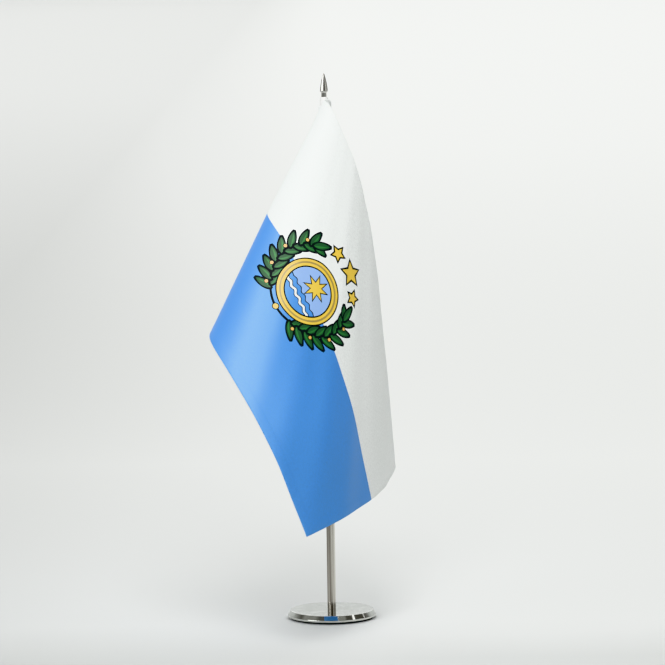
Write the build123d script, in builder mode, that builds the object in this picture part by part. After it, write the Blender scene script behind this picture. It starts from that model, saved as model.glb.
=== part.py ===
"""Desk flag stand: a chromed disc base, a slim pole with a turned spear finial, and a satin flag.

The origin is the centre of the base's underside, +Z is up, -Y is the side that the flag hangs
towards, and all sizes are in millimetres. The flag is shown as it drapes on its pole.
"""

import os
from math import atan2, cos, degrees, exp, hypot, pi, radians, sin, sqrt, tan

from build123d import *

# Base
BASE_D = 50.0
BASE_TOP_D = 46.6
BASE_RIM_H = 1.1
BASE_BEVEL_H = 2.5
BASE_EDGE_R = 0.25
PAD_D = 47.0
PAD_H = 1.0
PAD_HOLE_D = 8.0

# Screw that holds the pole from below
SCREW_SHANK_D = 2.9
SCREW_HOLE_D = 3.1
SCREW_HEAD_D = 5.5
SCREW_REACH = 8.0
SCREW_SLOT_W = 0.8
SCREW_SLOT_DEPTH = 0.7
SCREW_SIDE_GAP = 0.05

# Pole
POLE_D = 4.8
POLE_TOP_Z = 294.5
POLE_BORE_D = 3.0
POLE_BORE_DEPTH = 9.0
POLE_CHAMFER = 0.25

# Finial: a threaded stud, a neck and a pointed spear
FINIAL_STUD_D = 2.9
FINIAL_STUD_L = 7.0
FINIAL_NECK_D = 3.3
FINIAL_NECK_H = 2.4
FINIAL_BELLY_D = 4.7
FINIAL_BELLY_H = 1.3
FINIAL_H = 13.5
FINIAL_TIP_D = 0.7

# Flag, flat: fly is the length away from the pole, hoist is the height along the pole
FLY = 240.0
HOIST = 126.0
PANEL_T = 0.3
SLEEVE_GAP = 0.3
SLEEVE_T = 0.6
SLEEVE_TOP_Z = 289.5
HOIST_CLEARANCE = 0.5
HOIST_AZIMUTH = 84.0
HOIST_HEADING = -4.0
SEAM_INSET = 3.0
SEAM_THREAD_D = 0.3
SEAM_END = 2.0
STITCH_PITCH = 2.5
STITCH_L = 1.8

# Drape: past its hidden part the cloth is bent only along straight lines through one apex
APEX_FLY = -15.3
APEX_DROP = -47.5
APEX = Vector(24.6, 4.7, 345.0)
START_HEADING = -53.5
FOLD_ANGLE = 35.8
FOLD_SPREAD = 4.6
FOLD_TURN = 127.0
SWEEP_CURVE = 2.45
SWEEP_END_CURVE = 0.35
SWEEP_FADE_FROM = 60.0
SWEEP_FADE_TO = 86.0
ANGLE_STEP = 0.25
ANGLE_END = 90.0
JOIN_ANGLE = 31.0
TOP_SAG = 4.0
TOP_SAG_FLY = 22.0
TOP_SAG_REACH = 80.0
SURFACE_ROWS = 9
SURFACE_COLUMNS = 49
SURFACE_TOLERANCE = 0.1

BASE_H = BASE_RIM_H + BASE_BEVEL_H
BASE_TOP_Z = PAD_H + BASE_H
SLEEVE_IN_R = POLE_D / 2 + SLEEVE_GAP
SLEEVE_OUT_R = SLEEVE_IN_R + SLEEVE_T
HOIST_R = SLEEVE_OUT_R + HOIST_CLEARANCE


def direction(azimuth):
    """Level direction, with azimuth 0 along -Y and positive towards +X."""
    return Vector(sin(radians(azimuth)), -cos(radians(azimuth)), 0)


def smooth(value, low, high):
    """Rises from 0 to 1 between low and high, level at both ends."""
    t = min(1.0, max(0.0, (value - low) / (high - low)))
    return t * t * (3 - 2 * t)


def cone_curvature(angle):
    """How fast the cloth turns, in radians per radian of flat angle about the apex."""
    spread = radians(FOLD_SPREAD)
    off_fold = radians(angle - FOLD_ANGLE) / spread
    fold = radians(FOLD_TURN) * exp(-off_fold * off_fold / 2) / (spread * sqrt(2 * pi))
    opened = smooth(angle, FOLD_ANGLE - FOLD_SPREAD, FOLD_ANGLE + FOLD_SPREAD)
    fade = smooth(angle, SWEEP_FADE_FROM, SWEEP_FADE_TO)
    sweep = SWEEP_CURVE + (SWEEP_END_CURVE - SWEEP_CURVE) * fade
    return fold + sweep * opened


def cone_rulings():
    """Directions of the straight lines through the apex, one per step of flat angle."""
    ruling = Vector(0, 0, -1)
    heading = direction(START_HEADING)
    step = radians(ANGLE_STEP)
    rulings = [ruling]
    for i in range(round(ANGLE_END / ANGLE_STEP)):
        turn = cone_curvature((i + 0.5) * ANGLE_STEP) * step
        side = heading.cross(ruling)
        heading = heading * cos(turn) + side * sin(turn)
        ruling, heading = ruling * cos(step) + heading * sin(step), heading * cos(step) - ruling * sin(step)
        rulings.append(ruling)
    return rulings


RULINGS = cone_rulings()


def cone_point(angle, drop):
    """Point on the cone, let down near the top of the fold, at an angle about the apex and a drop."""
    place = angle / ANGLE_STEP
    i = min(int(place), len(RULINGS) - 2)
    ruling = RULINGS[i] + (RULINGS[i + 1] - RULINGS[i]) * (place - i)
    below_apex = drop - APEX_DROP
    fly = APEX_FLY + below_apex * tan(radians(angle))
    sag = TOP_SAG * (1 - smooth(hypot(fly - TOP_SAG_FLY, drop), 0, TOP_SAG_REACH))
    return APEX + ruling.normalized() * (below_apex / cos(radians(angle))) - Vector(0, 0, sag)


def hidden_point(fly, join, drop):
    """Point on the smooth curve between the hoist and the join with the cone."""
    start = direction(HOIST_AZIMUTH) * HOIST_R + Vector(0, 0, SLEEVE_TOP_Z - drop)
    start_pull = direction(HOIST_HEADING) * join
    end = cone_point(JOIN_ANGLE, drop)
    end_pull = (end - cone_point(JOIN_ANGLE - ANGLE_STEP, drop)).normalized() * join
    t = fly / join
    blend = t * t * (3 - 2 * t)
    middle = start * (1 - blend) + end * blend
    return middle + start_pull * (t * (1 - t) * (1 - t)) - end_pull * (t * t * (1 - t))


def cloth_point(fly, drop):
    """Where a point of the flat flag lies once draped."""
    below_apex = drop - APEX_DROP
    join = APEX_FLY + below_apex * tan(radians(JOIN_ANGLE))
    if fly < join:
        return hidden_point(fly, join, drop)
    return cone_point(degrees(atan2(fly - APEX_FLY, below_apex)), drop)


def drape_surface():
    """The draped surface midway between the two panels."""
    drops = [HOIST * i / (SURFACE_ROWS - 1) for i in range(SURFACE_ROWS)]
    flies = [FLY * i / (SURFACE_COLUMNS - 1) for i in range(SURFACE_COLUMNS)]
    points = [[cloth_point(fly, drop) for fly in flies] for drop in drops]
    return Face.make_surface_from_array_of_points(points, tol=SURFACE_TOLERANCE, min_deg=3)


DRAPE = drape_surface()

os.makedirs("parts", exist_ok=True)

# Base disc: turned steel, bevelled, countersunk below for the screw
with BuildPart() as base_disc:
    with BuildSketch(Plane.XZ):
        with BuildLine():
            Polyline(
                (0, PAD_H),
                (BASE_D / 2, PAD_H),
                (BASE_D / 2, PAD_H + BASE_RIM_H),
                (BASE_TOP_D / 2, BASE_TOP_Z),
                (0, BASE_TOP_Z),
                close=True,
            )
        make_face()
    revolve(axis=Axis.Z)
    fillet(base_disc.edges().filter_by(GeomType.CIRCLE), radius=BASE_EDGE_R)
    with Locations(Plane.XY.offset(PAD_H).rotated((180, 0, 0))):
        CounterSinkHole(SCREW_HOLE_D / 2, SCREW_HEAD_D / 2 + SCREW_SIDE_GAP, counter_sink_angle=90)
base_disc.part.label = "base_disc"
export_step(base_disc.part, "parts/base_disc.step")

# Base pad: a soft ring stuck under the disc
with BuildPart() as base_pad:
    with BuildSketch(Plane.XY):
        Circle(PAD_D / 2)
        Circle(PAD_HOLE_D / 2, mode=Mode.SUBTRACT)
    extrude(amount=PAD_H)
base_pad.part.label = "base_pad"
export_step(base_pad.part, "parts/base_pad.step")

# Base screw: slotted, countersunk, its head flush with the disc's underside
with BuildPart() as base_screw:
    with BuildSketch(Plane.XZ):
        with BuildLine():
            Polyline(
                (0, PAD_H),
                (SCREW_HEAD_D / 2, PAD_H),
                (SCREW_SHANK_D / 2, PAD_H + (SCREW_HEAD_D - SCREW_SHANK_D) / 2),
                (SCREW_SHANK_D / 2, BASE_TOP_Z + SCREW_REACH),
                (0, BASE_TOP_Z + SCREW_REACH),
                close=True,
            )
        make_face()
    revolve(axis=Axis.Z)
    with BuildSketch(Plane.XY.offset(PAD_H)):
        Rectangle(SCREW_HEAD_D + 1, SCREW_SLOT_W)
    extrude(amount=SCREW_SLOT_DEPTH, mode=Mode.SUBTRACT)
base_screw.part.label = "base_screw"
export_step(base_screw.part, "parts/base_screw.step")

# Pole: a plain rod, bored at both ends for the screw and the finial
with BuildPart() as pole:
    with BuildSketch(Plane.XY.offset(BASE_TOP_Z)):
        Circle(POLE_D / 2)
    extrude(amount=POLE_TOP_Z - BASE_TOP_Z)
    chamfer(pole.edges().group_by(Axis.Z)[-1], length=POLE_CHAMFER)
    for end_z, depth in ((BASE_TOP_Z, POLE_BORE_DEPTH), (POLE_TOP_Z, -POLE_BORE_DEPTH)):
        with BuildSketch(Plane.XY.offset(end_z)):
            Circle(POLE_BORE_D / 2)
        extrude(amount=depth, mode=Mode.SUBTRACT)
pole.part.label = "pole"
export_step(pole.part, "parts/pole.step")

# Finial: turned in one piece with its stud
with BuildPart() as finial:
    with BuildSketch(Plane.XZ):
        with BuildLine():
            neck_top_z = POLE_TOP_Z + FINIAL_NECK_H
            belly_z = neck_top_z + FINIAL_BELLY_H
            tip_z = POLE_TOP_Z + FINIAL_H
            tip_r = FINIAL_TIP_D / 2
            top_of_neck = (FINIAL_NECK_D / 2, neck_top_z)
            belly = (FINIAL_BELLY_D / 2, belly_z)
            underside = (0.93 * FINIAL_BELLY_D / 2, neck_top_z + 0.35 * FINIAL_BELLY_H)
            tip_edge = (tip_r, tip_z - tip_r)
            flank = (0.73 * FINIAL_BELLY_D / 2, belly_z + 0.46 * (tip_z - belly_z))
            tip_round = (tip_r * cos(radians(45)), tip_z - tip_r * (1 - sin(radians(45))))
            tip = (0, tip_z)
            Polyline(
                (0, POLE_TOP_Z - FINIAL_STUD_L),
                (FINIAL_STUD_D / 2, POLE_TOP_Z - FINIAL_STUD_L),
                (FINIAL_STUD_D / 2, POLE_TOP_Z),
                (FINIAL_NECK_D / 2, POLE_TOP_Z),
                top_of_neck,
            )
            ThreePointArc(top_of_neck, underside, belly)
            ThreePointArc(belly, flank, tip_edge)
            ThreePointArc(tip_edge, tip_round, tip)
            Line(tip, (0, POLE_TOP_Z - FINIAL_STUD_L))
        make_face()
    revolve(axis=Axis.Z)
finial.part.label = "finial"
export_step(finial.part, "parts/finial.step")

# Sleeve: the flag's sewn heading, a cloth tube round the pole
with BuildPart() as sleeve:
    with BuildSketch(Plane.XY.offset(SLEEVE_TOP_Z - HOIST)):
        Circle(SLEEVE_OUT_R)
        Circle(SLEEVE_IN_R, mode=Mode.SUBTRACT)
    extrude(amount=HOIST)
sleeve.part.label = "sleeve"
export_step(sleeve.part, "parts/sleeve.step")

# Flag panels: two layers of satin back to back, the obverse towards the front
with BuildPart() as flag_obverse:
    thicken(DRAPE, amount=PANEL_T)
flag_obverse.part.label = "flag_obverse"
export_step(flag_obverse.part, "parts/flag_obverse.step")

with BuildPart() as flag_reverse:
    thicken(DRAPE, amount=-PANEL_T)
flag_reverse.part.label = "flag_reverse"
export_step(flag_reverse.part, "parts/flag_reverse.step")

# Hoist stitching: one row of thread through both panels, beside the sleeve
with BuildPart() as hoist_stitching:
    for i in range(int((HOIST - 2 * SEAM_END) / STITCH_PITCH) + 1):
        stitch_drop = SEAM_END + i * STITCH_PITCH
        stitch = cloth_point(SEAM_INSET, stitch_drop)
        along_fly = cloth_point(SEAM_INSET + 1, stitch_drop) - stitch
        along_fly = Vector(along_fly.X, along_fly.Y, 0)
        with Locations(Plane(origin=stitch, x_dir=along_fly, z_dir=(0, 0, 1))):
            Box(SEAM_THREAD_D, 2 * PANEL_T + SEAM_THREAD_D, STITCH_L)
hoist_stitching.part.label = "hoist_stitching"
export_step(hoist_stitching.part, "parts/hoist_stitching.step")
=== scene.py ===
"""Looks of the desk flag stand: satin flag, chromed pole, finial and base, on a pale floor."""

import math

import bpy
import numpy as np
from mathutils import Matrix, Vector
from mathutils.geometry import delaunay_2d_cdt


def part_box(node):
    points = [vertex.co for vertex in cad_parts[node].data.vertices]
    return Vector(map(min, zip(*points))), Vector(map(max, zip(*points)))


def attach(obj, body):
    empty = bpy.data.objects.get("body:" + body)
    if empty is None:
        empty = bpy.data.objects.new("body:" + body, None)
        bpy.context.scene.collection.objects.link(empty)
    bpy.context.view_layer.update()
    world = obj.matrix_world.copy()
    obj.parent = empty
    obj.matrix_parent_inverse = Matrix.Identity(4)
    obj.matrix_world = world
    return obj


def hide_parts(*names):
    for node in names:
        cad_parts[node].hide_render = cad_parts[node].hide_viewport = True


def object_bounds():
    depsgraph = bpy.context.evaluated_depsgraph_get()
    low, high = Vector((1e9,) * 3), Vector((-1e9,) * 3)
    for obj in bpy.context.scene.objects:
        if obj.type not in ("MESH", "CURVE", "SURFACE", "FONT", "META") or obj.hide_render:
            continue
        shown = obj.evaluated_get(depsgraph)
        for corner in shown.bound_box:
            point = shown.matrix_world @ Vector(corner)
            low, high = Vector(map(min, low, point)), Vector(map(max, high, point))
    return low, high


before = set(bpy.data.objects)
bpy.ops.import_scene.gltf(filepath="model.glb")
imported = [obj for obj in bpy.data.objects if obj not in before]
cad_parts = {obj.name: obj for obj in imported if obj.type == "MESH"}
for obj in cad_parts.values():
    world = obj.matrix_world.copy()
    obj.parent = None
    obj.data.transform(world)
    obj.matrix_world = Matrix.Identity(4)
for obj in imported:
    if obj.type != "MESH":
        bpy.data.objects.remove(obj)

CAD_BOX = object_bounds()

# Flag, flat, in metres: fly runs from the pole, drop runs down from the top edge
FLY = 0.240
HOIST = 0.126
PANEL_T = 0.0003

# Drape, as the CAD panels have it: the cloth is bent only along lines through one apex. TOP_LIFT is
# added here: it raises the front layer's top edge beside the pole
APEX_FLY = -0.0153
APEX_DROP = -0.0475
APEX = np.array([0.0246, 0.0047, 0.345])
START_HEADING = -53.5
FOLD_ANGLE = 35.8
FOLD_SPREAD = 4.6
FOLD_TURN = 127.0
SWEEP_CURVE = 2.45
SWEEP_END_CURVE = 0.35
SWEEP_FADE_FROM = 60.0
SWEEP_FADE_TO = 86.0
ANGLE_STEP = 0.25
ANGLE_END = 90.0
JOIN_ANGLE = 31.0
TOP_SAG = 0.004
TOP_SAG_FLY = 0.022
TOP_SAG_REACH = 0.080
TOP_LIFT = 0.0024
TOP_LIFT_FLY = 0.029
TOP_LIFT_REACH = 0.009
HOIST_AZIMUTH = 84.0
HOIST_HEADING = -4.0
HOIST_R = 0.0038

# Cloth detail
CLOTH_PITCH = 0.0015
EDGE_ROUND = 0.0006
SEAM_ALLOWANCE = 0.005
SEAM_SWELL = 0.00008
INNER_GAP = 0.00002
RIPPLE = 0.00035
FINE_RIPPLE = 0.00018
BILLOW = 0.003
BILLOW_FLY = 0.192
BILLOW_DROP = 0.100
BILLOW_REACH = 0.034

# Sleeve: a tube of cloth with a turned hem at each end and a lapped seam along it
SLEEVE_IN_R = 0.0027
SLEEVE_OUT_R = 0.0033
SLEEVE_HEM = 0.006
SLEEVE_LAP = 0.0025
SLEEVE_SEAM_AZIMUTH = -100.0
SLEEVE_EDGE = 0.0005
SEAM_INSET = 0.003
SEAM_END = 0.002
STITCH_PITCH = 0.0025
STITCH_L = 0.0018
THREAD_R = 0.00016

# Print: its parts are in flat millimetres, with the emblem upright towards the top edge
DIVISION = 63.0
EMBLEM = np.array([119.5, 63.5])
MEDALLION_R = 18.5
# The medallion's discs, from the lowest up: paint, and how much larger than the medallion
RINGS = [
    ("ink", 0.7), ("gold", -0.05), ("dark_gold", -1.3), ("gold", -2.4), ("ink", -3.8), ("pale_blue", -4.6),
]
SUN_RISE = (0, 5.0)
# Each star's angle from up, distance from the middle and size, then each wave's paint and height
STARS = [(0.0, 32.0, 7.4), (-25.0, 30.5, 4.6), (25.0, 30.5, 4.6)]
WAVES = [("ink", -3.4), ("blue", -4.0), ("ink", -6.4), ("white", -6.9), ("ink", -8.3), ("blue", -8.8)]
# Sprigs, with angles from up round the medallion: the stems start close to it and spread out
SPRIG_PAIRS = 8
STEM_FROM = 190
STEM_TO = 56
STEM_GAP = 3.2
STEM_SPREAD = 5.0
LEAVES_FROM = 156
LEAVES_SPAN = 104
LEAF_OUTWARD = 52
LEAF_INWARD = 34
LEAF_L = 10.4
LEAF_W = 3.7
PAINT_COLOURS = {
    "white": (0.752, 0.776, 0.765),
    "blue": (0.042, 0.205, 0.61),
    "green": (0.012, 0.075, 0.022),
    "leaf_light": (0.025, 0.17, 0.035),
    "ink": (0.008, 0.010, 0.012),
    "gold": (0.72, 0.50, 0.04),
    "dark_gold": (0.30, 0.21, 0.035),
    "berry": (0.70, 0.42, 0.08),
    "pale_blue": (0.27, 0.43, 0.78),
}
# Gloss, and the tint of the gloss where it has one
PAINT_GLOSS = {
    "blue": (1.0, (0.68, 1.0, 0.98)),
    "pale_blue": (0.8, (0.8, 1.0, 1.0)),
    "green": (0.3,),
    "leaf_light": (0.3,),
    "ink": (0.08,),
}
PAINTS = list(PAINT_COLOURS)
LIGHT_THROUGH = 0.13

# Plated metals: colour, colour of the streaks, roughness, depth of the streaks, streaks per metre
BASE_CHROME = ((0.69, 0.70, 0.665), (0.61, 0.615, 0.58), 0.05, 0.15, (300, 300, 300))
# Pole: its dark lengthwise streak colour is partly painted reflection, dark lines standing in for the
# mirrored dark room
POLE_CHROME_PAINTED_REFLECTIONS = ((0.66, 0.64, 0.59), (0.22, 0.195, 0.165), 0.12, 0.3, (620, 620, 6))
FINIAL_CHROME = ((0.80, 0.79, 0.77), (0.66, 0.64, 0.60), 0.05, 0.2, (900, 900, 4000))
SCREW_ZINC = ((0.62, 0.63, 0.66), (0.5, 0.5, 0.52), 0.25, 0.4, (2500, 2500, 2500))
# End of the pole under the finial: a paler colour that is a painted highlight, and a rougher finish
PALE_END_Z = (0.2862, 0.2870)
END_PAINTED_HIGHLIGHT = (0.95, 0.95, 0.94)
PALE_END_ROUGHNESS = 0.5

# Camera, at the photograph's angle
CAMERA_DISTANCE = 2.2
CAMERA_ELEVATION = 10.05
CAMERA_ROLL = 0.874
VIEW_HEIGHT = 0.3741
AIM = Vector((0.00276, 0.0, 0.16205))

# Studio: the surroundings by azimuth, from the back round by the left, front and right to the back,
# low down and high up, and the floor's greys from the front to the back, which are painted shade
SWEEP = (0.92, 0.95, 0.94)
ROOM = (0.17, 0.165, 0.15)
WINDOW = (0.75, 0.76, 0.74)
WORLD_LOW = [
    (0.00, SWEEP), (0.18, SWEEP), (0.26, ROOM), (0.33, WINDOW), (0.46, WINDOW), (0.50, ROOM),
    (0.58, ROOM), (0.61, WINDOW), (0.73, WINDOW), (0.76, ROOM), (0.80, ROOM), (0.86, SWEEP), (1.00, SWEEP),
]
SCREEN = (0.42, 0.425, 0.40)
DIM = (0.20, 0.20, 0.19)
WORLD_HIGH = [
    (0.00, SWEEP), (0.11, SWEEP), (0.15, ROOM), (0.21, ROOM), (0.24, SCREEN), (0.33, SCREEN), (0.37, DIM),
    (0.54, DIM), (0.57, SCREEN), (0.63, SCREEN), (0.65, ROOM), (0.84, ROOM), (0.88, SWEEP), (1.00, SWEEP),
]
WORLD_STRENGTH = 0.75
# Painted shade on the floor: darker greys at the front, paler ones towards the back
FLOOR_PAINTED_SHADE = [
    (0.00, (0.43, 0.44, 0.43)), (0.22, (0.51, 0.52, 0.51)), (0.33, (0.66, 0.67, 0.66)),
    (0.50, (0.74, 0.75, 0.74)), (1.00, (0.91, 0.92, 0.905)),
]

SLEEVE_LOW, SLEEVE_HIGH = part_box("sleeve")
SLEEVE_TOP_Z = SLEEVE_HIGH[2]


# ---------------------------------------------------------------- camera, light and floor

def make_camera():
    """Long lens, a little above the table, at the photograph's viewing angle."""
    height = CAMERA_DISTANCE * math.tan(math.radians(CAMERA_ELEVATION))
    place = Vector((AIM.x, -CAMERA_DISTANCE, height))
    away = AIM - place
    data = bpy.data.cameras.new("camera")
    data.sensor_width = 36.0
    data.lens = data.sensor_width * away.length / VIEW_HEIGHT
    data.clip_start, data.clip_end = 0.05, 200.0
    camera = bpy.data.objects.new("camera", data)
    bpy.context.collection.objects.link(camera)
    camera.matrix_world = (
        Matrix.Translation(place)
        @ away.to_track_quat("-Z", "Y").to_matrix().to_4x4()
        @ Matrix.Rotation(math.radians(-CAMERA_ROLL), 4, "Z")
    )
    bpy.context.scene.camera = camera


def area_light(name, place, target, size, energy, colour=(1, 1, 1), unlit=()):
    """Rectangular light that leaves out the objects in unlit."""
    data = bpy.data.lights.new(name, "AREA")
    data.shape = "RECTANGLE"
    data.size, data.size_y = size
    data.energy = energy
    data.color = colour
    light = bpy.data.objects.new(name, data)
    light.location = place
    light.rotation_euler = (Vector(target) - Vector(place)).to_track_quat("-Z", "Y").to_euler()
    bpy.context.collection.objects.link(light)
    if unlit:
        shaded = bpy.data.collections.new(name + "_unlit")
        for piece in unlit:
            shaded.objects.link(piece)
        light.light_linking.receiver_collection = shaded
        for item in shaded.collection_objects:
            item.light_linking.link_state = "EXCLUDE"


def sun_light(name, towards, angle, strength):
    data = bpy.data.lights.new(name, "SUN")
    data.angle = math.radians(angle)
    data.energy = strength
    light = bpy.data.objects.new(name, data)
    light.rotation_euler = Vector(towards).to_track_quat("-Z", "Y").to_euler()
    bpy.context.collection.objects.link(light)


def ramp_stops(node, stops):
    """Sets a colour ramp from (position, colour) pairs."""
    elements = node.color_ramp.elements
    while len(elements) > 1:
        elements.remove(elements[-1])
    for i, (position, colour) in enumerate(stops):
        element = elements[0] if i == 0 else elements.new(position)
        element.position = position
        element.color = (*colour, 1)


def make_world():
    """A white sweep behind the object, and a dim room with windows and screens round the rest."""
    world = bpy.data.worlds.new("studio")
    bpy.context.scene.world = world
    world.use_nodes = True
    tree = world.node_tree
    tree.nodes.clear()

    def new(kind, **values):
        node = tree.nodes.new(kind)
        for key, value in values.items():
            setattr(node, key, value)
        return node

    coords = new("ShaderNodeTexCoord")
    split = new("ShaderNodeSeparateXYZ")
    flip = new("ShaderNodeMath", operation="MULTIPLY")
    around = new("ShaderNodeMath", operation="ARCTAN2")
    turn = new("ShaderNodeMath", operation="MULTIPLY_ADD")
    height = new("ShaderNodeMapRange")
    room = new("ShaderNodeValToRGB")
    ceiling = new("ShaderNodeValToRGB")
    both = new("ShaderNodeMix", data_type="RGBA")
    back = new("ShaderNodeBackground")
    out = new("ShaderNodeOutputWorld")
    flip.inputs[1].default_value = -1.0
    turn.inputs[1].default_value = 0.5 / math.pi
    turn.inputs[2].default_value = 0.5
    height.inputs["From Min"].default_value = 0.25
    height.inputs["From Max"].default_value = 0.6
    ramp_stops(room, WORLD_LOW)
    ramp_stops(ceiling, WORLD_HIGH)
    back.inputs["Strength"].default_value = WORLD_STRENGTH
    tree.links.new(coords.outputs["Generated"], split.inputs[0])
    tree.links.new(split.outputs["Y"], flip.inputs[0])
    tree.links.new(split.outputs["X"], around.inputs[0])
    tree.links.new(flip.outputs[0], around.inputs[1])
    tree.links.new(around.outputs[0], turn.inputs[0])
    tree.links.new(turn.outputs[0], room.inputs[0])
    tree.links.new(turn.outputs[0], ceiling.inputs[0])
    tree.links.new(split.outputs["Z"], height.inputs["Value"])
    tree.links.new(height.outputs[0], both.inputs["Factor"])
    tree.links.new(room.outputs[0], both.inputs[6])
    tree.links.new(ceiling.outputs[0], both.inputs[7])
    tree.links.new(both.outputs[2], back.inputs["Color"])
    tree.links.new(back.outputs[0], out.inputs[0])


def make_stage():
    """Floor, surroundings and lights. The key softbox leaves out the metal that faces up to it."""
    bpy.ops.mesh.primitive_circle_add(vertices=96, radius=60.0, fill_type="NGON", location=(0, 0, 0))
    floor = bpy.context.object
    floor.name = "studio_floor"
    floor.location.z = CAD_BOX[0][2] - 0.0001
    floor.data.materials.append(floor_material())
    make_world()
    sun_light("overhead", (0.0, -0.12, -1.0), 70, 0.90)
    area_light("sweep_light", (0.6, 13.0, 4.5), (0.6, 13.0, 0.0), (12.0, 22.0), 763)
    bright_metal = [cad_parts[name] for name in ("finial", "base_disc")]
    key_place, key_target = (-0.01, -0.44, 0.53), (-0.02, -0.07, 0.17)
    area_light("key_softbox", key_place, key_target, (0.20, 0.24), 2.6, unlit=bright_metal)
    area_light("left_softbox", (-1.2, -0.9, 0.75), (0, -0.05, 0.18), (0.8, 0.9), 8.5, (0.97, 0.99, 1.0))
    area_light("right_softbox", (0.87, -0.17, 1.1), (0, 0, 0.0), (0.22, 0.30), 0.30)


# ---------------------------------------------------------------- materials

class Nodes:
    """Short names for building a material's node tree."""

    def __init__(self, name, material=None):
        self.material = material or bpy.data.materials.new(name)
        self.material.use_nodes = True
        self.tree = self.material.node_tree
        self.shader = self.tree.nodes["Principled BSDF"]

    def new(self, kind, **values):
        node = self.tree.nodes.new(kind)
        for key, value in values.items():
            setattr(node, key, value)
        return node

    def link(self, source, target):
        self.tree.links.new(source, target)

    def set(self, **values):
        for key, value in values.items():
            self.shader.inputs[key.replace("_", " ")].default_value = value

    def texture_point(self, source, scale):
        """Coordinates scaled by three numbers, from Object or UV coordinates."""
        coords = self.new("ShaderNodeTexCoord")
        mapping = self.new("ShaderNodeMapping")
        mapping.inputs["Scale"].default_value = scale
        self.link(coords.outputs[source], mapping.inputs["Vector"])
        return mapping.outputs[0]

    def noise(self, point, scale, detail=2.0, roughness=0.5):
        node = self.new("ShaderNodeTexNoise")
        node.inputs["Scale"].default_value = scale
        node.inputs["Detail"].default_value = detail
        node.inputs["Roughness"].default_value = roughness
        self.link(point, node.inputs["Vector"])
        return node.outputs["Fac"]

    def spread(self, value, low, high, span=(0.0, 1.0)):
        """Maps a value within a span to low to high."""
        node = self.new("ShaderNodeMapRange")
        node.inputs["From Min"].default_value, node.inputs["From Max"].default_value = span
        node.inputs["To Min"].default_value = low
        node.inputs["To Max"].default_value = high
        self.link(value, node.inputs["Value"])
        return node.outputs[0]

    def math(self, operation, a, b):
        node = self.new("ShaderNodeMath", operation=operation)
        for value, socket in ((a, node.inputs[0]), (b, node.inputs[1])):
            if isinstance(value, (int, float)):
                socket.default_value = value
            else:
                self.link(value, socket)
        return node.outputs[0]

    def mix(self, factor, a, b):
        """Mixes two colours, each a tuple or a socket."""
        node = self.new("ShaderNodeMix", data_type="RGBA")
        self.link(factor, node.inputs["Factor"])
        for value, socket in ((a, node.inputs[6]), (b, node.inputs[7])):
            if isinstance(value, tuple):
                socket.default_value = (*value, 1)
            else:
                self.link(value, socket)
        return node.outputs[2]

    def bump(self, height, strength, distance):
        node = self.new("ShaderNodeBump")
        node.inputs["Strength"].default_value = strength
        node.inputs["Distance"].default_value = distance
        self.link(height, node.inputs["Height"])
        return node.outputs[0]


def floor_material():
    """Pale paper with painted shade: greyer at the front, paler towards the back and a little greyer on the
    left.
    """
    m = Nodes("floor_paper")
    coords = m.new("ShaderNodeTexCoord")
    split = m.new("ShaderNodeSeparateXYZ")
    m.link(coords.outputs["Object"], split.inputs[0])
    # Painted shade: greyer at the front, paler towards the back
    front_to_back_painted_shade = m.new("ShaderNodeValToRGB")
    ramp_stops(front_to_back_painted_shade, FLOOR_PAINTED_SHADE)
    m.link(m.spread(split.outputs["Y"], 0.0, 1.0, (-0.35, 0.65)), front_to_back_painted_shade.inputs[0])
    grain = m.noise(m.texture_point("Object", (1, 1, 1)), 900.0, 3.0)
    paper = m.mix(m.spread(grain, 0.0, 0.05), front_to_back_painted_shade.outputs[0], (0.5, 0.5, 0.5))
    shade = m.new("ShaderNodeHueSaturation")
    m.link(paper, shade.inputs["Color"])
    # Painted shade: the floor is made darker towards the left
    m.link(m.spread(split.outputs["X"], 0.72, 1.0, (-0.36, 0.02)), shade.inputs["Value"])
    m.link(shade.outputs[0], m.shader.inputs["Base Color"])
    m.set(Roughness=0.9)
    m.link(m.bump(grain, 0.05, 0.0002), m.shader.inputs["Normal"])
    return m.material


def chrome_material(name, colour, streak_and_reflection, roughness, lines, line_scale):
    """Plated steel with streaks from drawing or turning and a cloudy polish; where the streak colour is dark,
    as on the pole, the streaks are partly painted reflections.
    """
    m = Nodes(name)
    streaks_and_reflections = m.noise(m.texture_point("Object", line_scale), 1.0, 4.0, 0.6)
    cloud = m.noise(m.texture_point("Object", (1, 1, 1)), 90.0, 4.0, 0.6)
    # Streak colour mixed into the base colour: on the pole it is partly painted reflection
    m.link(m.mix(m.spread(streaks_and_reflections, 0.0, 1.0, (0.36, 0.62)), streak_and_reflection, colour), m.shader.inputs["Base Color"])
    rough = m.math("ADD", m.spread(cloud, 0.0, roughness), m.spread(streaks_and_reflections, roughness * 0.5, roughness))
    m.link(rough, m.shader.inputs["Roughness"])
    m.link(m.bump(streaks_and_reflections, lines, 0.00002), m.shader.inputs["Normal"])
    m.set(Metallic=1.0)
    return m.material


def pole_material(name, *look):
    """Plated rod whose end under the finial is rougher and paler, the paler colour being a painted highlight.
    """
    m = Nodes(name, chrome_material(name, *look))
    split = m.new("ShaderNodeSeparateXYZ")
    m.link(m.texture_point("Object", (1, 1, 1)), split.inputs[0])
    painted_highlight_end = m.spread(split.outputs["Z"], 0.0, 1.0, PALE_END_Z)
    colour, roughness = m.shader.inputs["Base Color"], m.shader.inputs["Roughness"]
    # Painted highlight: the pole's end is given a paler colour
    m.link(m.mix(painted_highlight_end, colour.links[0].from_socket, END_PAINTED_HIGHLIGHT), colour)
    rougher = m.math("MULTIPLY", painted_highlight_end, PALE_END_ROUGHNESS)
    m.link(m.math("ADD", roughness.links[0].from_socket, rougher), roughness)
    return m.material


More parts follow.
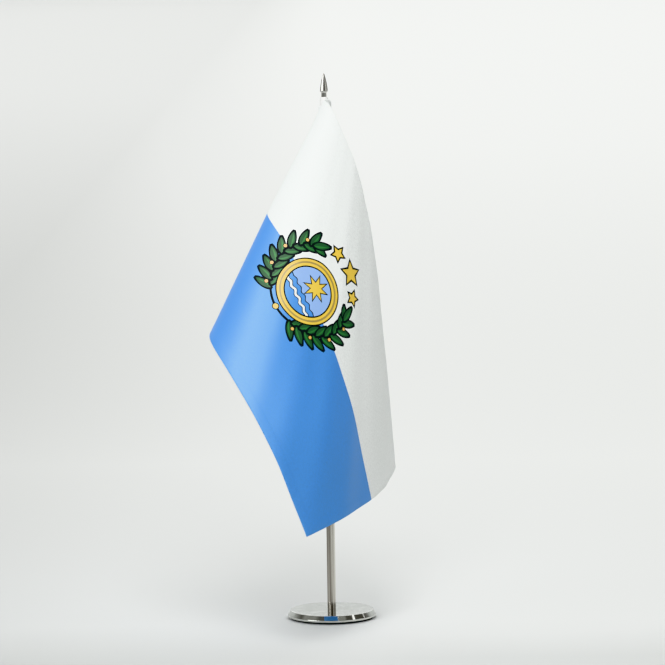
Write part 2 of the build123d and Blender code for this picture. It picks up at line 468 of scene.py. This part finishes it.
def pad_material():
    m = Nodes("foam_pad")
    cells = m.new("ShaderNodeTexVoronoi")
    cells.inputs["Scale"].default_value = 2200.0
    m.link(m.texture_point("Object", (1, 1, 1)), cells.inputs["Vector"])
    foam = m.mix(cells.outputs["Distance"], (0.05, 0.05, 0.052), (0.022, 0.022, 0.024))
    m.link(foam, m.shader.inputs["Base Color"])
    m.link(m.bump(cells.outputs["Distance"], 0.5, 0.0002), m.shader.inputs["Normal"])
    m.set(Roughness=0.92)
    return m.material


def satin_material(name, colour, gloss=0.8, tint=(1, 1, 1)):
    """Satin weave in flat coordinates: fine warp threads, slubs, a soft broad gloss and a little light
    through the cloth."""
    m = Nodes(name)
    threads = m.noise(m.texture_point("UV", (2300.0, 520.0, 1.0)), 1.0, 2.0, 0.6)
    slubs = m.noise(m.texture_point("UV", (560.0, 1500.0, 1.0)), 1.0, 2.0, 0.7)
    cloud = m.noise(m.texture_point("UV", (70.0, 70.0, 1.0)), 1.0, 3.0)
    weave = m.math("ADD", m.math("MULTIPLY", threads, 0.4), m.math("MULTIPLY", slubs, 0.6))
    shade = m.new("ShaderNodeHueSaturation")
    shade.inputs["Color"].default_value = (*colour, 1)
    m.link(m.math("ADD", m.spread(weave, 0.66, 1.34), m.spread(cloud, -0.02, 0.02)), shade.inputs["Value"])
    m.link(shade.outputs[0], m.shader.inputs["Base Color"])
    m.link(m.spread(weave, 0.40, 0.70), m.shader.inputs["Roughness"])
    m.link(m.bump(weave, 0.6, 0.00014), m.shader.inputs["Normal"])
    m.set(Sheen_Weight=0.1 * gloss, Sheen_Roughness=0.4, Specular_IOR_Level=gloss, IOR=1.75)
    m.shader.inputs["Specular Tint"].default_value = (*tint, 1)
    through = m.new("ShaderNodeBsdfTranslucent")
    through.inputs["Color"].default_value = (*[LIGHT_THROUGH * c for c in colour], 1)
    both = m.new("ShaderNodeAddShader")
    m.link(m.shader.outputs[0], both.inputs[0])
    m.link(through.outputs[0], both.inputs[1])
    m.link(both.outputs[0], m.tree.nodes["Material Output"].inputs["Surface"])
    return m.material


def thread_material():
    """Twisted polyester thread: fine slanting plies along each stitch."""
    m = Nodes("white_thread")
    plies = m.new("ShaderNodeTexWave", bands_direction="DIAGONAL")
    plies.inputs["Scale"].default_value = 1.0
    plies.inputs["Distortion"].default_value = 1.5
    m.link(m.texture_point("Object", (3800, 3800, 3800)), plies.inputs["Vector"])
    m.link(m.mix(plies.outputs["Fac"], (0.60, 0.62, 0.61), (0.88, 0.90, 0.89)), m.shader.inputs["Base Color"])
    m.link(m.bump(plies.outputs["Fac"], 0.6, 0.00005), m.shader.inputs["Normal"])
    m.set(Roughness=0.55, Sheen_Weight=0.2)
    return m.material


# ---------------------------------------------------------------- the drape

def level(azimuth):
    """Level direction, with azimuth 0 along -Y and positive towards +X."""
    return np.array([math.sin(math.radians(azimuth)), -math.cos(math.radians(azimuth)), 0.0])


def smooth(value, low, high):
    """Rises from 0 to 1 between low and high, level at both ends."""
    t = np.clip((value - low) / (high - low), 0.0, 1.0)
    return t * t * (3 - 2 * t)


def cone_curvature(angle):
    """How fast the cloth turns, in radians per radian of flat angle about the apex."""
    spread = math.radians(FOLD_SPREAD)
    off_fold = math.radians(angle - FOLD_ANGLE) / spread
    fold = math.radians(FOLD_TURN) * math.exp(-off_fold * off_fold / 2) / (spread * math.sqrt(2 * math.pi))
    opened = smooth(angle, FOLD_ANGLE - FOLD_SPREAD, FOLD_ANGLE + FOLD_SPREAD)
    fade = smooth(angle, SWEEP_FADE_FROM, SWEEP_FADE_TO)
    sweep = SWEEP_CURVE + (SWEEP_END_CURVE - SWEEP_CURVE) * fade
    return fold + sweep * opened


def cone_rulings():
    """Directions of the straight lines through the apex, one per step of flat angle."""
    ruling = np.array([0.0, 0.0, -1.0])
    heading = level(START_HEADING)
    step = math.radians(ANGLE_STEP)
    rulings = [ruling]
    for i in range(round(ANGLE_END / ANGLE_STEP)):
        turn = cone_curvature((i + 0.5) * ANGLE_STEP) * step
        side = np.cross(heading, ruling)
        heading = heading * math.cos(turn) + side * math.sin(turn)
        ahead = ruling * math.cos(step) + heading * math.sin(step)
        heading = heading * math.cos(step) - ruling * math.sin(step)
        ruling = ahead
        rulings.append(ruling)
    return np.array(rulings)


RULINGS = cone_rulings()
RULING_ANGLES = np.arange(len(RULINGS)) * ANGLE_STEP


def cone_point(angle, drop):
    """Points by flat angle about the apex, with the sag and the lift of the top edge."""
    ruling = np.stack([np.interp(angle, RULING_ANGLES, RULINGS[:, k]) for k in range(3)], -1)
    ruling /= np.linalg.norm(ruling, axis=-1, keepdims=True)
    below_apex = drop - APEX_DROP
    fly = APEX_FLY + below_apex * np.tan(np.radians(angle))
    sag = TOP_SAG * (1 - smooth(np.hypot(fly - TOP_SAG_FLY, drop), 0, TOP_SAG_REACH))
    sag -= TOP_LIFT * np.exp(-np.hypot(fly - TOP_LIFT_FLY, drop) ** 2 / TOP_LIFT_REACH ** 2)
    reach = below_apex / np.cos(np.radians(angle))
    return APEX + ruling * reach[..., None] - np.stack([0 * sag, 0 * sag, sag], -1)


def bare_point(fly, drop):
    """Where points of the flat flag lie once draped, midway between the two panels."""
    below_apex = drop - APEX_DROP
    join = APEX_FLY + below_apex * math.tan(math.radians(JOIN_ANGLE))
    angle = np.degrees(np.arctan2(fly - APEX_FLY, below_apex))
    on_cone = cone_point(np.maximum(angle, JOIN_ANGLE), drop)
    joined = np.full_like(drop, JOIN_ANGLE)
    start = level(HOIST_AZIMUTH) * HOIST_R + np.stack([0 * drop, 0 * drop, SLEEVE_TOP_Z - drop], -1)
    end = cone_point(joined, drop)
    end_pull = end - cone_point(joined - ANGLE_STEP, drop)
    end_pull *= (join / np.linalg.norm(end_pull, axis=-1))[..., None]
    start_pull = level(HOIST_HEADING) * join[..., None]
    t = np.clip(fly / join, 0, 1)[..., None]
    blend = t * t * (3 - 2 * t)
    middle = start * (1 - blend) + end * blend
    hidden = middle + start_pull * (t * (1 - t) ** 2) - end_pull * (t * t * (1 - t))
    return np.where((fly < join)[..., None], hidden, on_cone)


def ripple(fly, drop):
    """Small waves of the hanging cloth, in metres along its normal."""
    angle = np.degrees(np.arctan2(fly - APEX_FLY, drop - APEX_DROP))
    reach = np.hypot(fly - APEX_FLY, drop - APEX_DROP) / FLY
    waves = RIPPLE * np.sin(angle * 0.55 + 0.8) + FINE_RIPPLE * np.sin(angle * 1.3 + 2.0 + drop * 20)
    free = smooth(angle, 40.0, 52.0) * (1 - smooth(angle, 70.0, 80.0))
    billow = BILLOW * np.exp(-np.hypot(fly - BILLOW_FLY, drop - BILLOW_DROP) ** 2 / BILLOW_REACH ** 2)
    return waves * reach * free + billow


def side_normals(fly, drop):
    """Normals of the middle surface, towards the obverse."""
    e = 0.0003
    along_fly = bare_point(fly + e, drop) - bare_point(fly - e, drop)
    along_drop = bare_point(fly, drop + e) - bare_point(fly, drop - e)
    normal = np.cross(along_drop, along_fly)
    return normal / np.linalg.norm(normal, axis=-1, keepdims=True)


def cloth(fly, drop, lift=0.0):
    """Draped points lifted off the middle surface, towards the obverse where lift is positive."""
    fly, drop = np.broadcast_arrays(np.asarray(fly, float), np.asarray(drop, float))
    return bare_point(fly, drop) + side_normals(fly, drop) * (lift + ripple(fly, drop))[..., None]


def rim_distance(fly, drop):
    return np.minimum(np.minimum(drop, HOIST - drop), np.minimum(fly, FLY - fly))


def panel_thickness(fly, drop):
    """Outer face's height over the middle surface: rounded rim, and seam allowance just inside it."""
    rim = rim_distance(fly, drop)
    part = np.clip(rim / EDGE_ROUND, 0, 1)
    rounded = np.sqrt(np.clip(1 - (1 - part) ** 2, 0, 1))
    swell = SEAM_SWELL * (1 - smooth(rim, SEAM_ALLOWANCE * 0.8, SEAM_ALLOWANCE * 1.2))
    return (PANEL_T + swell) * rounded


def rim_spaced(length):
    """Distances along one side of the flag, close together where its edges are rounded."""
    rim = EDGE_ROUND * np.array([0.0, 0.08, 0.3, 0.62, 1.0])
    inner = np.linspace(rim[-1], length - rim[-1], round(length / CLOTH_PITCH))
    return np.concatenate([rim[:-1], inner, length - rim[-2::-1]])


def flat_cloth():
    """The flat flag cut into triangles along every printed outline, with a paint for each triangle."""
    fly, drop = np.meshgrid(rim_spaced(FLY), rim_spaced(HOIST))
    points = list(zip(fly.ravel() * 1000, drop.ravel() * 1000))
    edges = []
    first, along = len(points), rim_spaced(FLY) * 1000
    points += [(x, DIVISION) for x in along]
    edges += [(first + i, first + i + 1) for i in range(len(along) - 1)]
    prints = emblem()
    for _, outline in prints:
        start = len(points)
        points += [tuple(p) for p in outline]
        edges += [(start + i, start + (i + 1) % len(outline)) for i in range(len(outline))]
    cut = delaunay_2d_cdt([Vector(p) for p in points], edges, [], 0, 0.004, False)
    flat = np.array([tuple(v) for v in cut[0]]) / 1000
    triangles = np.array([tuple(f) for f in cut[2]])
    middle = flat[triangles].mean(1) * 1000
    paint = np.where(middle[:, 1] > DIVISION, PAINTS.index("blue"), PAINTS.index("white"))
    for colour, outline in prints:
        paint[inside(middle, outline)] = PAINTS.index(colour)
    return flat, triangles, paint


def inside(points, outline):
    """Which points lie inside a closed outline."""
    low, high = outline.min(0), outline.max(0)
    near = np.nonzero(np.all((points > low) & (points < high), axis=1))[0]
    x, y = points[near, 0][:, None], points[near, 1][:, None]
    x0, y0 = outline[:, 0], outline[:, 1]
    x1, y1 = np.roll(x0, -1), np.roll(y0, -1)
    rising = np.where(y1 == y0, 1e-9, y1 - y0)
    crossed = ((y0 > y) != (y1 > y)) & (x < (x1 - x0) * (y - y0) / rising + x0)
    found = np.zeros(len(points), bool)
    found[near] = crossed.sum(1) % 2 == 1
    return found


def turned(points, angle, place):
    """Points with +Y up on the flag, turned clockwise and moved to a place in flat millimetres."""
    a = math.radians(angle)
    x = points[:, 0] * math.cos(a) + points[:, 1] * math.sin(a)
    up = points[:, 1] * math.cos(a) - points[:, 0] * math.sin(a)
    return np.stack([place[0] + x, place[1] - up], -1)


def disc(radius, place=(0, 0), count=72):
    a = np.linspace(0, 2 * math.pi, count, endpoint=False)
    return np.stack([place[0] + radius * np.cos(a), place[1] + radius * np.sin(a)], -1)


def leaf(length, width, grow, share=(-1, 1)):
    """Pointed leaf from its foot at the origin up +Y, grown all round; share picks a part of its width."""
    t = np.linspace(0, 1, 11)
    half = (width / 2) * np.sin(math.pi * t ** 0.85) ** 0.8
    y = t * length + grow * 1.4 * (2 * t - 1)
    right = np.stack([share[1] * (half + grow), y], -1)
    left = np.stack([share[0] * (half + grow), y], -1)
    if grow == 0:
        return np.concatenate([right, left[-2:0:-1]])
    return np.concatenate([right, left[::-1]])


def star(outer, inner, points_count):
    a = np.arange(2 * points_count) * math.pi / points_count
    r = np.where(np.arange(2 * points_count) % 2 == 0, outer, inner)
    return np.stack([r * np.sin(a), r * np.cos(a)], -1)


def band(path, half):
    """Outline of a strip along a path."""
    along = np.gradient(path, axis=0)
    side = np.stack([-along[:, 1], along[:, 0]], -1) / np.linalg.norm(along, axis=1, keepdims=True)
    return np.concatenate([path + side * half, (path - side * half)[::-1]])


def on_circle(radius, angles):
    """Points round the emblem's middle, with angles clockwise from up on the flag."""
    a = np.radians(angles)
    return np.stack([EMBLEM[0] + radius * np.sin(a), EMBLEM[1] - radius * np.cos(a)], -1)


def sprigs():
    """Leaves, berries and stems of the two sprigs, as (kind, shape data) in flat millimetres."""
    leaves, berries, stems = [], [], []
    for side in (-1, 1):
        bend = np.linspace(STEM_FROM, STEM_TO, 32)
        radius = MEDALLION_R + STEM_GAP + STEM_SPREAD * smooth(-bend, -150, -80)
        stems.append(on_circle(radius, side * bend))
        for i in range(SPRIG_PAIRS):
            part = (i + 0.4) / SPRIG_PAIRS
            angle = LEAVES_FROM - part * LEAVES_SPAN
            r = np.interp(-angle, -bend, radius)
            place = on_circle(r, np.array([side * angle]))[0]
            heading = side * (angle - 90)
            leaves.append((place, heading + side * LEAF_OUTWARD, LEAF_L * (1 - 0.12 * part), LEAF_W))
            shift = on_circle(r, np.array([side * (angle - 5)]))[0]
            inner = heading - side * LEAF_INWARD
            leaves.append((shift, inner, LEAF_L * (0.86 - 0.1 * part), LEAF_W * 0.92))
            if i % 2 == 0:
                berries.append(on_circle(r + 2.6, np.array([side * (angle - 9)]))[0])
        end = on_circle(radius[-1], np.array([side * STEM_TO]))[0]
        leaves.append((end, side * -26, LEAF_L, LEAF_W))
    return leaves, berries, stems


def emblem():
    """The printed emblem, from the lowest layer up, as (paint, outline in flat millimetres)."""
    leaves, berries, stems = sprigs()
    layers = [("ink", band(path, 0.7)) for path in stems]
    for place, heading, length, width in leaves:
        layers.append(("ink", turned(leaf(length, width, 0.8), heading, place)))
        layers.append(("green", turned(leaf(length, width, -0.05), heading, place)))
        layers.append(("leaf_light", turned(leaf(length * 0.86, width * 0.62, 0, (0.12, 1)), heading, place)))
    for place in berries:
        layers.append(("ink", disc(1.35, place, 16)))
        layers.append(("berry", disc(0.95, place, 14)))
    knot = on_circle(MEDALLION_R + STEM_GAP, np.array([180.0]))[0]
    layers += [("ink", disc(2.1, knot, 20)), ("gold", disc(1.5, knot, 18))]
    layers += [(paint, disc(MEDALLION_R + larger, EMBLEM)) for paint, larger in RINGS]
    field = MEDALLION_R + RINGS[-1][1]
    for paint, low in WAVES:
        reach = math.sqrt(field ** 2 - low ** 2)
        x = np.linspace(-reach, reach, 41)
        crest = np.stack([x, low + 0.6 * np.sin(x * 1.2) * (1 - (x / reach) ** 6)], -1)
        arc = math.atan2(-low, reach)
        below = np.linspace(-arc, arc - math.pi, 25)[1:-1]
        shore = np.stack([field * np.cos(below), field * np.sin(below)], -1)
        layers.append((paint, turned(np.concatenate([crest, shore]), 0, EMBLEM)))
    layers += [
        ("ink", turned(star(8.6, 4.0, 8) + SUN_RISE, 0, EMBLEM)),
        ("gold", turned(star(7.0, 3.1, 8) + SUN_RISE, 0, EMBLEM)),
    ]
    for angle, radius, size in STARS:
        place = on_circle(radius, np.array([angle]))[0]
        layers.append(("ink", turned(star(size + 1.2, size * 0.5 + 0.7, 5), angle, place)))
        layers.append(("gold", turned(star(size - 0.6, size * 0.42, 5), angle, place)))
    return layers


def outer_face(fly, drop, side):
    """Points of one panel's outer face."""
    return cloth(fly, drop, side * (INNER_GAP + panel_thickness(fly, drop)))


def outer_normals(fly, drop, side):
    """Normals of one panel's outer face, from the surface and not from its triangles."""
    e = 0.00025
    along_drop = outer_face(fly, drop + e, side) - outer_face(fly, drop - e, side)
    along_fly = outer_face(fly + e, drop, side) - outer_face(fly - e, drop, side)
    normal = np.cross(along_drop, along_fly) * side
    return normal / np.linalg.norm(normal, axis=1, keepdims=True)


def panel_mesh(name, side, flat, triangles, paint):
    """One closed panel: a painted outer face with a rounded rim, and a flat inner face."""
    fly, drop = flat[:, 0], flat[:, 1]
    rim = rim_distance(fly, drop)
    edge = rim < 1e-7
    inner_index = np.where(edge, np.arange(len(flat)), len(flat) + np.cumsum(~edge) - 1)
    outer = outer_face(fly, drop, side)
    inner = cloth(fly[~edge], drop[~edge], side * INNER_GAP)
    vertices = np.concatenate([outer, inner])
    faces = np.concatenate([triangles, inner_index[triangles][:, ::-1]])
    first, second, third = (outer[triangles[:, i]] for i in range(3))
    facing = np.cross(second - first, third - first)
    if (facing * side_normals(fly, drop)[triangles[:, 0]]).sum() * side < 0:
        faces = faces[:, ::-1]
    mesh = bpy.data.meshes.new(name)
    mesh.from_pydata(vertices.tolist(), [], faces.tolist())
    uv = mesh.uv_layers.new(name="flat")
    flats = np.concatenate([flat, flat[~edge]])
    corners = np.zeros(len(mesh.loops), int)
    mesh.loops.foreach_get("vertex_index", corners)
    uv.data.foreach_set("uv", flats[corners].astype(np.float32).ravel())
    mesh.polygons.foreach_set("material_index", np.concatenate([paint, 0 * paint]).astype(np.int32))
    mesh.polygons.foreach_set("use_smooth", np.ones(len(mesh.polygons), bool))
    normals = np.zeros(3 * len(mesh.vertices), np.float32)
    mesh.vertices.foreach_get("normal", normals)
    normals = normals.reshape(-1, 3)
    calm = np.concatenate([rim > EDGE_ROUND * 1.01, np.zeros((~edge).sum(), bool)])
    normals[calm] = outer_normals(*flats[calm].T, side)
    mesh.normals_split_custom_set_from_vertices(normals.tolist())
    panel = bpy.data.objects.new(name, mesh)
    bpy.context.collection.objects.link(panel)
    return panel


def make_panels():
    flat, triangles, paint = flat_cloth()
    satins = []
    for name in PAINTS:
        satins.append(satin_material("satin_" + name, PAINT_COLOURS[name], *PAINT_GLOSS.get(name, ())))
    for name, node, side in (("obverse_panel", "flag_obverse", 1), ("reverse_panel", "flag_reverse", -1)):
        panel = panel_mesh(name, side, flat, triangles, paint)
        for satin in satins:
            panel.data.materials.append(satin)
        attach(panel, "flag")
        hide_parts(node)


def loop_corners(count, around):
    """Ring and place on it of each corner of the faces of a tube whose last ring meets its first."""
    ring, place = np.meshgrid(np.arange(count), np.arange(around), indexing="ij")
    return [(ring, place), (ring, place + 1), (ring + 1, place + 1), (ring + 1, place)]


def loop_faces(count, around):
    corners = loop_corners(count, around)
    return np.stack([(i % count) * around + j % around for i, j in corners], -1).reshape(-1, 4)


def smooth_mesh(name, points, faces):
    mesh = bpy.data.meshes.new(name)
    mesh.from_pydata(points.reshape(-1, 3).tolist(), [], faces.tolist())
    mesh.polygons.foreach_set("use_smooth", np.ones(len(faces), bool))
    return mesh


def make_sleeve():
    """The flag's heading: both faces of a cloth tube, thicker at its hems and along its lapped seam."""
    low, high = SLEEVE_LOW[2], SLEEVE_HIGH[2]
    length = high - low
    fine = SLEEVE_EDGE * np.array([0.0, 0.1, 0.35, 0.7, 1.0])
    inner_part = np.linspace(fine[-1], length - fine[-1], 170)
    drops = np.concatenate([fine[:-1], inner_part, length - fine[-2::-1]])
    azimuths = np.linspace(-180, 180, 120, endpoint=False) + SLEEVE_SEAM_AZIMUTH
    drop, azimuth = np.meshgrid(drops, azimuths, indexing="ij")
    rim = np.minimum(drop, length - drop)
    lap = (azimuth - SLEEVE_SEAM_AZIMUTH) / math.degrees(SLEEVE_LAP / SLEEVE_OUT_R)
    hem = 1 - smooth(rim, SLEEVE_HEM * 0.96, SLEEVE_HEM * 1.04)
    lapped = smooth(lap, -0.08, 0.0) * (1 - smooth(lap, 1.0, 1.06))
    groove = np.exp(-((rim - SLEEVE_HEM * 0.85) / 0.0003) ** 2) + np.exp(-((lap - 0.8) / 0.1) ** 2)
    slack = 0.5 + 0.5 * np.sin(np.radians(azimuth * 3) + drop * 260) * np.sin(drop * 410 + 1.0)
    # Share of the wall that is cloth: all of it where hem and lap meet, least in the stitched grooves
    thick = 0.72 + 0.14 * hem + 0.14 * lapped - 0.10 * groove - 0.05 * slack * (1 - hem)
    rounded = np.sqrt(1 - (1 - np.clip(rim / fine[-1], 0, 1)) ** 2)
    middle = (SLEEVE_IN_R + SLEEVE_OUT_R) / 2
    half = (SLEEVE_OUT_R - SLEEVE_IN_R) / 2
    outer = middle + half * (2 * thick - 1) * rounded
    inner = middle - half * (0.9 - 0.1 * slack) * rounded
    radius = np.concatenate([outer, inner[::-1][1:-1]])
    z = high - np.concatenate([drop, drop[::-1][1:-1]])
    a = np.radians(np.concatenate([azimuth, azimuth[::-1][1:-1]]))
    rings = np.stack([radius * np.sin(a), -radius * np.cos(a), z], -1)
    u = np.radians(np.append(azimuths, azimuths[0] + 360)) * middle
    v = np.concatenate([drops, 2 * length - drops[::-1][1:-1], [2 * length]])
    mesh = smooth_mesh("sleeve_tube", rings, loop_faces(*rings.shape[:2]))
    uvs = np.stack(np.meshgrid(u, v), -1)
    flat = np.stack([uvs[i, j] for i, j in loop_corners(*rings.shape[:2])], -2)
    mesh.uv_layers.new(name="flat").data.foreach_set("uv", flat.astype(np.float32).ravel())
    mesh.flip_normals()
    sleeve = bpy.data.objects.new("sleeve_tube", mesh)
    bpy.context.collection.objects.link(sleeve)
    sleeve.data.materials.append(satin_material("satin_white", PAINT_COLOURS["white"]))
    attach(sleeve, "sleeve")
    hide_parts("sleeve")


def make_stitches():
    """Loops of thread through both panels, in one row beside the sleeve."""
    drops = SEAM_END + STITCH_PITCH * np.arange(round((HOIST - 2 * SEAM_END) / STITCH_PITCH - 0.5) + 1)
    turn = np.linspace(0, 2 * math.pi, 28, endpoint=False)
    around = np.linspace(0, 2 * math.pi, 10, endpoint=False)
    out_of_cloth = PANEL_T + INNER_GAP + SEAM_SWELL + THREAD_R * 0.4
    depth = out_of_cloth * np.sign(np.cos(turn)) * np.abs(np.cos(turn)) ** 0.35
    rise = (STITCH_L / 2 - THREAD_R) * np.sign(np.sin(turn)) * np.abs(np.sin(turn)) ** 0.6
    stitches = []
    for i, drop in enumerate(drops):
        place = cloth(SEAM_INSET, drop)
        out = side_normals(np.array(SEAM_INSET), np.array(drop))
        lean = np.array([0.0, 0.0, 1.0]) + 0.06 * math.sin(i * 2.3) * np.cross(out, (0, 0, 1.0))
        path = place + depth[:, None] * out + rise[:, None] * lean
        along = np.roll(path, -1, 0) - np.roll(path, 1, 0)
        along /= np.linalg.norm(along, axis=1, keepdims=True)
        side = np.cross(out, lean) / np.linalg.norm(np.cross(out, lean))
        up = np.cross(along, side)
        ring = np.cos(around)[None, :, None] * side + np.sin(around)[None, :, None] * up[:, None, :]
        stitches.append(path[:, None, :] + THREAD_R * ring)
    size = len(turn) * len(around)
    one = loop_faces(len(turn), len(around))
    faces = np.concatenate([one + i * size for i in range(len(stitches))])
    mesh = smooth_mesh("hoist_thread", np.array(stitches), faces)
    thread = bpy.data.objects.new("hoist_thread", mesh)
    bpy.context.collection.objects.link(thread)
    thread.data.materials.append(thread_material())
    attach(thread, "flag")
    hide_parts("hoist_stitching")


def finish_hardware():
    """Materials of the metal pieces and the pad, which keep their CAD solids."""
    looks = {
        "base_disc": chrome_material("chrome_base", *BASE_CHROME),
        "pole": pole_material("chrome_pole", *POLE_CHROME_PAINTED_REFLECTIONS),
        "finial": chrome_material("chrome_finial", *FINIAL_CHROME),
        "base_screw": chrome_material("zinc_screw", *SCREW_ZINC),
        "base_pad": pad_material(),
    }
    for name, material in looks.items():
        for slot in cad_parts[name].material_slots:
            slot.material = material


bpy.context.scene.view_settings.view_transform = "Khronos PBR Neutral"
make_camera()
make_stage()
finish_hardware()
make_sleeve()
make_panels()
make_stitches()
